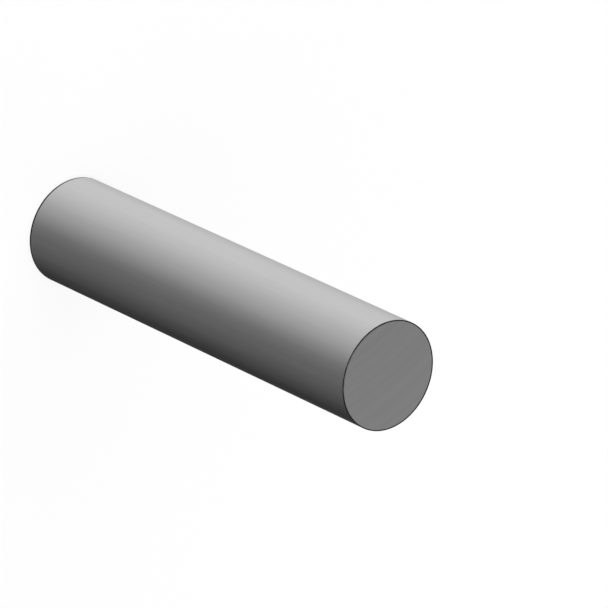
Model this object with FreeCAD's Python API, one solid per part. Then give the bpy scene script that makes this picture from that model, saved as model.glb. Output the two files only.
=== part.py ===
import FreeCAD, Part
import os

# Round bar of solid steel, sawn to length from longer stock.
# It is one piece: a plain round section with a flat sawn face at each end, and
# the sharp edge round each face filed off, as on a cut bar that is to be handled.
# The bar stands on one of its sawn faces, with its centre line along Z. The
# origin is the middle of that lower face.

# Driving sizes, in millimetres.
BAR_DIAMETER = 50.0
BAR_LENGTH = 225.0
EDGE_BREAK_ACROSS = 0.3
EDGE_BREAK_ALONG = 0.3

# Sizes that follow from them.
bar_radius = BAR_DIAMETER / 2.0
face_radius = bar_radius - EDGE_BREAK_ACROSS
upper_edge_break_start = BAR_LENGTH - EDGE_BREAK_ALONG


def half_section():
    """The bar's section from its centre line out to its surface, as a closed face."""
    outline = [
        (0.0, 0.0),
        (face_radius, 0.0),
        (bar_radius, EDGE_BREAK_ALONG),
        (bar_radius, upper_edge_break_start),
        (face_radius, BAR_LENGTH),
        (0.0, BAR_LENGTH),
    ]
    corners = [FreeCAD.Vector(out, 0.0, up) for out, up in outline]
    return Part.Face(Part.makePolygon(corners + corners[:1]))


def round_bar():
    """The half section turned once round the centre line."""
    lower_face_middle = FreeCAD.Vector(0.0, 0.0, 0.0)
    along_bar = FreeCAD.Vector(0.0, 0.0, 1.0)
    return half_section().revolve(lower_face_middle, along_bar, 360.0)


os.makedirs("parts", exist_ok=True)
round_bar().exportStep("parts/round_bar.step")
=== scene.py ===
import math
import bpy
from mathutils import Matrix, Quaternion, Vector


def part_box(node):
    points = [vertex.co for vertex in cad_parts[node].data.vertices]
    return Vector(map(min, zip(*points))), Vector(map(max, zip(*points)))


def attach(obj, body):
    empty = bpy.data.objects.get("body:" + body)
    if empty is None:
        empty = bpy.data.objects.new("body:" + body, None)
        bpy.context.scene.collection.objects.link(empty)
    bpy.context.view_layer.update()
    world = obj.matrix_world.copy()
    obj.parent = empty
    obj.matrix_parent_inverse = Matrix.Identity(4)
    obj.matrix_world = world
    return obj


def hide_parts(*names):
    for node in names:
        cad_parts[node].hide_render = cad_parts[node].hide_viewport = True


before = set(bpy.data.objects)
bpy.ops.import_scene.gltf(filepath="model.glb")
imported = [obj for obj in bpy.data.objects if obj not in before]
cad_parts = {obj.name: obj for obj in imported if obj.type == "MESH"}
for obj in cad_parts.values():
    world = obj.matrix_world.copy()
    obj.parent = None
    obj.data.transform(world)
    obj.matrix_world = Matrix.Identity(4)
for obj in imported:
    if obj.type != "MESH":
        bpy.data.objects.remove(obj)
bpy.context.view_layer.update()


# The round bar
# One piece of solid steel, drawn to a round section and sawn to length on a circular
# saw. The saw leaves shallow arcs across both end faces, and a file has taken the sharp edge off round each
# of them. A thin dark line is painted round each edge, and at the foot it is wider, as painted contact
# shadow.
bar_low, bar_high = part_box("round_bar")
bar_length = bar_high.z - bar_low.z
# The solid has flat facets, so this is the widest round that stays inside its box on every side.
bar_diameter = 2 * min(bar_high.x, -bar_low.x, bar_high.y, -bar_low.y)
edge_break = 0.0003

# The saw's marks are arcs about the middle of its blade. The drift is how far they stray from even spacing,
# in pitches, and a patch is how wide a place is where they are deeper or shallower.
blade_middle = Vector((-0.150, -0.060, 0.0))
saw_mark_depth = 0.000010
saw_mark_pitch = 0.0022
saw_mark_drift = 1.2
drifts_per_mark = 0.6
saw_mark_patch = 0.011
saw_mark_seed = 4.0

# How finely the mesh follows the bar. A narrow land beside each filed corner keeps the corner's shading off
# the long side, and points within the closing reach of each other become one.
steps_round = 384
face_rings = 66
side_rings = 44
edge_steps = 5
edge_land = 0.0003
closing_reach = 0.000002


def place(tree, kind, feeds=None, **settings):
    """A node of that kind with its settings. Each feed goes in by its input's name or place, as a link from
    another node's output or as a plain value."""
    node = tree.nodes.new(kind)
    for name, value in settings.items():
        setattr(node, name, value)
    for key, value in (feeds or {}).items():
        if isinstance(value, bpy.types.NodeSocket):
            tree.links.new(value, node.inputs[key])
        else:
            node.inputs[key].default_value = value
    return node


def worked_out(tree, operation, *terms):
    """One step of arithmetic on links or plain numbers."""
    return place(tree, "ShaderNodeMath", dict(enumerate(terms)), operation=operation).outputs[0]


def point(tree, x, y, z=0.0):
    """A point put together from three links or plain numbers."""
    return place(tree, "ShaderNodeCombineXYZ", {"X": x, "Y": y, "Z": z}).outputs[0]


def scaled_height(tree, where, share):
    """A place with its height above the bar's foot multiplied by a share, which is 0 where the height doesn't
    count."""
    feeds = {0: where, 1: (1.0, 1.0, share)}
    return place(tree, "ShaderNodeVectorMath", feeds, operation="MULTIPLY").outputs["Vector"]


def distance(tree, here, there):
    """How far apart two places are."""
    return place(tree, "ShaderNodeVectorMath", {0: here, 1: there}, operation="DISTANCE").outputs["Value"]


def noise(tree, feeds, dimensions="3D"):
    """Soft random values between 0 and 1, mostly near the middle."""
    return place(tree, "ShaderNodeTexNoise", feeds, noise_dimensions=dimensions).outputs["Fac"]


def straight_run(tree, start, end, points, sawn):
    """A straight stretch of the bar's outline, marked 1 if the saw made it and 0 if the drawing die did."""
    line = place(tree, "GeometryNodeCurvePrimitiveLine", {"Start": start, "End": end})
    stepped = place(tree, "GeometryNodeResampleCurve", {"Curve": line.outputs["Curve"], "Count": points})
    marked = place(
        tree,
        "GeometryNodeStoreNamedAttribute",
        {"Geometry": stepped.outputs["Curve"], "Name": "sawn", "Value": sawn},
        data_type="FLOAT",
    )
    return marked.outputs["Geometry"]


def filed_corner(tree, radius, start_angle, centre):
    """The quarter turn of the outline where the file has rounded the sharp edge."""
    feeds = {
        "Resolution": edge_steps,
        "Radius": radius,
        "Start Angle": start_angle,
        "Sweep Angle": math.radians(90),
    }
    turn = place(tree, "GeometryNodeCurveArc", feeds, mode="RADIUS")
    moved = place(tree, "GeometryNodeTransform", {"Geometry": turn.outputs["Curve"], "Translation": centre})
    return moved.outputs["Geometry"]


def half_outline(tree, radius, length, broken):
    """Half the bar's outline, from the middle of the upper face to the middle of the lower one. Its first
    number is how far outside the bar's surface it lies, and its second how far below the upper face."""
    centre_line = worked_out(tree, "MULTIPLY", radius, -1.0)
    face_rim = worked_out(tree, "MULTIPLY", broken, -1.0)
    side_end = worked_out(tree, "SUBTRACT", length, broken)
    upper_land = worked_out(tree, "ADD", broken, edge_land)
    lower_land = worked_out(tree, "SUBTRACT", side_end, edge_land)
    ends_only = 2
    by_saw = 1.0
    by_die = 0.0
    outline = place(tree, "GeometryNodeJoinGeometry")
    for stretch in (
        straight_run(tree, point(tree, centre_line, 0.0), point(tree, face_rim, 0.0), face_rings, by_saw),
        filed_corner(tree, broken, math.radians(-90), point(tree, face_rim, broken)),
        straight_run(tree, point(tree, 0.0, broken), point(tree, 0.0, upper_land), ends_only, by_die),
        straight_run(tree, point(tree, 0.0, upper_land), point(tree, 0.0, lower_land), side_rings, by_die),
        straight_run(tree, point(tree, 0.0, lower_land), point(tree, 0.0, side_end), ends_only, by_die),
        filed_corner(tree, broken, 0.0, point(tree, face_rim, side_end)),
        straight_run(
            tree, point(tree, face_rim, length), point(tree, centre_line, length), face_rings, by_saw
        ),
    ):
        tree.links.new(stretch, outline.inputs["Geometry"])
    return outline.outputs["Geometry"]


def swept_round(tree, outline, radius, length):
    """The outline swept once round the centre line, with its stretches joined and both faces closed."""
    ring = place(tree, "GeometryNodeCurvePrimitiveCircle", {"Resolution": steps_round, "Radius": radius})
    raised = place(
        tree,
        "GeometryNodeTransform",
        {"Geometry": ring.outputs["Curve"], "Translation": point(tree, 0.0, 0.0, length)},
    )
    upright = place(tree, "GeometryNodeSetCurveNormal", {"Curve": raised.outputs["Geometry"]}, mode="Z_UP")
    swept = place(
        tree, "GeometryNodeCurveToMesh", {"Curve": upright.outputs["Curve"], "Profile Curve": outline}
    )
    closed = place(
        tree, "GeometryNodeMergeByDistance", {"Geometry": swept.outputs["Mesh"], "Distance": closing_reach}
    )
    return closed.outputs["Geometry"]


def saw_marks_cut(tree, bar, sizes):
    """The bar with the saw's arcs cut into its two end faces, and its side left as it was drawn."""
    where = place(tree, "GeometryNodeInputPosition").outputs["Position"]
    on_face = scaled_height(tree, where, 0.0)
    from_blade = distance(tree, on_face, sizes["Blade Middle"])
    marks = worked_out(tree, "DIVIDE", from_blade, sizes["Saw Mark Pitch"])
    seeded = worked_out(tree, "ADD", marks, sizes["Seed"])
    drift = noise(tree, {"W": seeded, "Scale": drifts_per_mark, "Detail": 1.0}, "1D")
    drifted = worked_out(tree, "MULTIPLY_ADD", drift, sizes["Saw Mark Drift"], marks)
    wave = worked_out(tree, "COSINE", worked_out(tree, "MULTIPLY", drifted, math.tau))
    trough = worked_out(tree, "MULTIPLY_ADD", wave, 0.5, 0.5)
    patches = worked_out(tree, "DIVIDE", 1.0, sizes["Saw Mark Patch"])
    uneven = noise(tree, {"Vector": on_face, "W": sizes["Seed"], "Scale": patches, "Detail": 1.0}, "4D")
    share = worked_out(tree, "MULTIPLY", trough, uneven)
    depth = worked_out(tree, "MULTIPLY", share, sizes["Saw Mark Depth"])
    sawn = place(tree, "GeometryNodeInputNamedAttribute", {"Name": "sawn"}, data_type="FLOAT")
    cut = worked_out(tree, "MULTIPLY", depth, sawn.outputs["Attribute"])
    inwards = worked_out(tree, "MULTIPLY", cut, -1.0)
    outwards = place(tree, "GeometryNodeInputNormal").outputs["Normal"]
    moved = place(tree, "ShaderNodeVectorMath", {0: outwards, "Scale": inwards}, operation="SCALE")
    feeds = {"Geometry": bar, "Offset": moved.outputs["Vector"]}
    return place(tree, "GeometryNodeSetPosition", feeds).outputs["Geometry"]


def bar_tree(finish):
    """The bar as a rule: half its outline swept round its centre line, with the saw's marks cut in."""
    tree = bpy.data.node_groups.new("round_bar_stock", "GeometryNodeTree")
    for name, kind in (
        ("Diameter", "NodeSocketFloat"),
        ("Length", "NodeSocketFloat"),
        ("Edge Break", "NodeSocketFloat"),
        ("Blade Middle", "NodeSocketVector"),
        ("Saw Mark Depth", "NodeSocketFloat"),
        ("Saw Mark Pitch", "NodeSocketFloat"),
        ("Saw Mark Drift", "NodeSocketFloat"),
        ("Saw Mark Patch", "NodeSocketFloat"),
        ("Seed", "NodeSocketFloat"),
    ):
        tree.interface.new_socket(name, in_out="INPUT", socket_type=kind)
    tree.interface.new_socket("Bar", in_out="OUTPUT", socket_type="NodeSocketGeometry")
    sizes = place(tree, "NodeGroupInput").outputs
    radius = worked_out(tree, "DIVIDE", sizes["Diameter"], 2.0)
    outline = half_outline(tree, radius, sizes["Length"], sizes["Edge Break"])
    bar = saw_marks_cut(tree, swept_round(tree, outline, radius, sizes["Length"]), sizes)
    smooth = place(tree, "GeometryNodeSetShadeSmooth", {"Geometry": bar})
    real = place(tree, "GeometryNodeRealizeInstances", {"Geometry": smooth.outputs["Geometry"]})
    finished = place(
        tree, "GeometryNodeSetMaterial", {"Geometry": real.outputs["Geometry"], "Material": finish}
    )
    place(tree, "NodeGroupOutput", {"Bar": finished.outputs["Geometry"]})
    return tree


# The steel is a plain satin grey. Its tone changes slowly across broad lines, and fine lines give it its
# grain. Both run along the side, where the die left them, and follow the saw's arcs on the faces.
steel_grey = 0.56
steel_roughness = 0.32
broad_line = 0.004
fine_line = 0.00028
tone_spread = 0.025
grain_spread = 0.03
roughness_spread = 0.04
drawn_line_depth = 0.000003
saw_line_depth = 0.000006
# The die's lines are this many times as long as they are wide.
drawn_line_stretch = 125.0
# Nearly all the values of a noise lie between these two.
noise_low = 0.3
noise_high = 0.7

# A dark line is painted round each end's edge, a little way onto the face and a little way along the side. At
# the foot it is wider, as painted contact shadow. It wanders, and it is wider on one side of the face than on
# the other.
face_line = 0.00046
face_line_middle = Vector((-0.00021, -0.00031, 0.0))
upper_side_line = 0.00050
# The line at the foot is painted contact shadow as well as edge line.
foot_edge_line_and_shadow = 0.00105
line_fade = 0.00012
line_wander = 0.00004
wander_length = 0.003
# The share of the steel's own grey that is left in the painted line.
line_shade = 0.04


def spread(tree, value, low, high, to_low, to_high):
    """A value's range from low to high, stretched over another range and cut off at its ends."""
    feeds = {"Value": value, "From Min": low, "From Max": high, "To Min": to_low, "To Max": to_high}
    return place(tree, "ShaderNodeMapRange", feeds).outputs["Result"]


def about(tree, value, middle, reach):
    """A noise's values, spread over the same reach to each side of a middle."""
    return spread(tree, value, noise_low, noise_high, middle - reach, middle + reach)


def tool_lines(tree, where, sawn, width, detail):
    """The lines of the drawing die along the side, and the lines of the saw's teeth across the faces, each
    about as wide as said."""
    along_bar = scaled_height(tree, where, 1.0 / drawn_line_stretch)
    drawn = noise(tree, {"Vector": along_bar, "Scale": 1.0 / width, "Detail": detail})
    from_blade = distance(tree, scaled_height(tree, where, 0.0), blade_middle)
    count = worked_out(tree, "DIVIDE", from_blade, width)
    cut = noise(tree, {"W": count, "Scale": 1.0, "Detail": detail}, "1D")
    feeds = {"Factor": sawn, "A": drawn, "B": cut}
    return place(tree, "ShaderNodeMix", feeds, data_type="FLOAT").outputs["Result"]


def clear_of_painted_edge_lines(tree, where):
    """1 away from the ends' edges, down to line_shade in the dark line painted round each edge, which at the
    foot is painted contact shadow.
    """
    from_middle = distance(tree, scaled_height(tree, where, 0.0), face_line_middle)
    from_rim = worked_out(tree, "SUBTRACT", bar_diameter / 2, from_middle)
    from_bottom = place(tree, "ShaderNodeSeparateXYZ", {"Vector": where}).outputs["Z"]
    from_top = worked_out(tree, "SUBTRACT", bar_length, from_bottom)
    shake = noise(tree, {"Vector": where, "Scale": 1.0 / wander_length})
    wander = about(tree, shake, 0.0, line_wander)
    clear_of_rim, clear_of_top, clear_of_bottom = (
        spread(tree, worked_out(tree, "ADD", gap, wander), line, line + line_fade, line_shade, 1.0)
        for gap, line in (
            (from_rim, face_line),
            (from_top, upper_side_line),
            (from_bottom, foot_edge_line_and_shadow),
        )
    )
    # A face is clear of the painted line where it is clear of its rim, and the side where it is clear of both
    # its ends.
    clear_of_ends = worked_out(tree, "MINIMUM", clear_of_top, clear_of_bottom)
    return worked_out(tree, "MAXIMUM", clear_of_rim, clear_of_ends)


def satin_steel():
    """Bare steel with its tool marks, and a dark line painted round each end's edge, wider at the foot as
    painted contact shadow.
    """
    finish = bpy.data.materials.new("satin_steel")
    finish.use_nodes = True
    tree = finish.node_tree
    steel = tree.nodes["Principled BSDF"]
    steel.inputs["Metallic"].default_value = 1.0
    where = place(tree, "ShaderNodeTexCoord").outputs["Object"]
    sawn = place(tree, "ShaderNodeAttribute", attribute_name="sawn").outputs["Fac"]
    fine = tool_lines(tree, where, sawn, fine_line, detail=2.0)
    broad = tool_lines(tree, where, sawn, broad_line, detail=3.0)

    tone = about(tree, broad, steel_grey, steel_grey * tone_spread)
    grain = about(tree, fine, 1.0, grain_spread)
    clear_of_edge_lines = clear_of_painted_edge_lines(tree, where)
    # The painted dark edge line, with its painted contact shadow at the foot, darkens the steel's grey here.
    shade = worked_out(tree, "MULTIPLY", worked_out(tree, "MULTIPLY", tone, grain), clear_of_edge_lines)
    colour = place(tree, "ShaderNodeCombineColor", {"Red": shade, "Green": shade, "Blue": shade})
    tree.links.new(colour.outputs["Color"], steel.inputs["Base Color"])

    rough = about(tree, fine, steel_roughness, roughness_spread)
    tree.links.new(rough, steel.inputs["Roughness"])

    depth = spread(tree, sawn, 0.0, 1.0, drawn_line_depth, saw_line_depth)
    relief = place(tree, "ShaderNodeBump", {"Height": fine, "Distance": depth})
    tree.links.new(relief.outputs["Normal"], steel.inputs["Normal"])
    return finish


def made_from(tree, name, sizes):
    """A plain mesh piece from a tree and its sizes."""
    maker = bpy.data.objects.new(name + "_maker", bpy.data.meshes.new(name + "_maker"))
    bpy.context.scene.collection.objects.link(maker)
    modifier = maker.modifiers.new("shape", "NODES")
    modifier.node_group = tree
    for socket in tree.interface.items_tree:
        if socket.in_out == "INPUT":
            modifier[socket.identifier] = sizes[socket.name]
    evaluated = maker.evaluated_get(bpy.context.evaluated_depsgraph_get())
    mesh = bpy.data.meshes.new_from_object(evaluated)
    mesh.name = name
    bpy.data.objects.remove(maker)
    piece = bpy.data.objects.new(name, mesh)
    bpy.context.scene.collection.objects.link(piece)
    return piece


bar = made_from(
    bar_tree(satin_steel()),
    "steel_round_bar",
    {
        "Diameter": bar_diameter,
        "Length": bar_length,
        "Edge Break": edge_break,
        "Blade Middle": blade_middle,
        "Saw Mark Depth": saw_mark_depth,
        "Saw Mark Pitch": saw_mark_pitch,
        "Saw Mark Drift": saw_mark_drift,
        "Saw Mark Patch": saw_mark_patch,
        "Seed": saw_mark_seed,
    },
)
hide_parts("round_bar")
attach(bar, "root")


# The floor
# A wide sheet of pale matt board. It glows a little, so that it stays as pale as paper, and the steel
# shows nothing of it.
floor_reach = 6.0
board_grey = 0.4
board_glow = 0.80
board = bpy.data.meshes.new("floor")
corners = [(x * floor_reach, y * floor_reach, 0.0) for x, y in ((-1, -1), (1, -1), (1, 1), (-1, 1))]
board.from_pydata(corners, [], [(0, 1, 2, 3)])
floor = bpy.data.objects.new("floor", board)
bpy.context.scene.collection.objects.link(floor)
pale = bpy.data.materials.new("pale_board")
pale.use_nodes = True
paint = pale.node_tree.nodes["Principled BSDF"]
paint.inputs["Base Color"].default_value = (board_grey, board_grey, board_grey, 1.0)
paint.inputs["Roughness"].default_value = 1.0
paint.inputs["Specular IOR Level"].default_value = 0.0
paint.inputs["Emission Color"].default_value = (1.0, 1.0, 1.0, 1.0)
paint.inputs["Emission Strength"].default_value = board_glow
board.materials.append(pale)
floor.visible_glossy = False
floor.visible_diffuse = False
floor.visible_shadow = False


# The light
# The studio is a faint sky and a dome of soft panels round the bar, bright on one side and dark on the
# other, so that the round of the bar shades from light to dark. To the camera the dome is as pale as the
# floor. A panel's bearing is counted from +X towards +Y, and its height is the angle above level.
soft_panels = {
    # bearing, height, half width, brightness
    "broad key": (153, -24, 93, 0.64),
    "low key": (114, -51, 52, 0.33),
    "high key": (165, 8, 42, 0.75),
    "far key": (38, 5, 53, 0.83),
    "broad fill": (248, -5, 125, 0.225),
    "back light": (345, 8, 42, 0.35),
    "overhead": (265, 50, 65, 0.35),
}
sky_from = -38.0
sky_full = 0.0
sky_brightness = 0.122
backdrop_white = 0.985


def eased_light(tree, name, value, none_at, full_at, brightness):
    """A light that comes up softly as a value goes from where it gives none to where it is full."""
    feeds = {"Value": value, "From Min": none_at, "From Max": full_at, "To Max": brightness}
    light = place(tree, "ShaderNodeMapRange", feeds, interpolation_type="SMOOTHSTEP", label=name)
    return light.outputs["Result"]


def soft_panel(tree, name, outwards, bearing, height, half_width, brightness):
    """The light from one round panel, full at its middle and fading to none at its rim."""
    bearing, height = math.radians(bearing), math.radians(height)
    middle_of_panel = (
        math.cos(bearing) * math.cos(height),
        math.sin(bearing) * math.cos(height),
        math.sin(height),
    )
    towards = place(tree, "ShaderNodeVectorMath", {0: outwards, 1: middle_of_panel}, operation="DOT_PRODUCT")
    rim = math.cos(math.radians(half_width))
    return eased_light(tree, name, towards.outputs["Value"], rim, 1.0, brightness)


studio = bpy.data.worlds.new("studio")
studio.use_nodes = True
dome = studio.node_tree
dome.nodes.clear()
outwards = place(dome, "ShaderNodeTexCoord").outputs["Generated"]
upwards = place(dome, "ShaderNodeSeparateXYZ", {"Vector": outwards}).outputs["Z"]
sky_foot = math.sin(math.radians(sky_from))
sky_top = math.sin(math.radians(sky_full))
light = eased_light(dome, "sky", upwards, sky_foot, sky_top, sky_brightness)
for name, panel in soft_panels.items():
    light = worked_out(dome, "ADD", light, soft_panel(dome, name, outwards, *panel))
to_camera = place(dome, "ShaderNodeLightPath").outputs["Is Camera Ray"]
seen = place(dome, "ShaderNodeMix", {"Factor": to_camera, "A": light, "B": backdrop_white}, data_type="FLOAT")
shone = place(dome, "ShaderNodeBackground", {"Strength": seen.outputs["Result"]})
shone.inputs["Color"].default_value = (1.0, 1.0, 1.0, 1.0)
place(dome, "ShaderNodeOutputWorld", {"Surface": shone.outputs["Background"]})
bpy.context.scene.world = studio
bpy.context.scene.view_settings.view_transform = "Standard"


# The camera
# It looks down on the standing bar with a long lens, and it is rolled, so that the bar lies aslant in
# the picture with its upper face towards the lower right. It aims a little to one side of the bar's
# middle, which puts the bar in the left of the picture.
camera_azimuth = math.radians(-35.0)
camera_elevation = math.radians(46.44)
camera_roll = math.radians(114.58)
camera_distance = 2.685
aim_right = 0.03430
aim_up = -0.00147
# The lens is given in millimetres, as lenses are.
film_width = 36.0
focal_length = 360.0
lens = bpy.data.cameras.new("camera")
lens.sensor_width = film_width
lens.lens = focal_length
camera = bpy.data.objects.new("camera", lens)
bpy.context.scene.collection.objects.link(camera)
back = Vector((
    math.sin(camera_azimuth) * math.cos(camera_elevation),
    -math.cos(camera_azimuth) * math.cos(camera_elevation),
    math.sin(camera_elevation),
))
turned = back.to_track_quat("Z", "Y") @ Quaternion((0.0, 0.0, 1.0), camera_roll)
middle = (bar_low + bar_high) / 2
aim = middle + turned @ Vector((aim_right, aim_up, 0.0))
camera.matrix_world = Matrix.LocRotScale(aim + back * camera_distance, turned, None)
bpy.context.scene.camera = camera
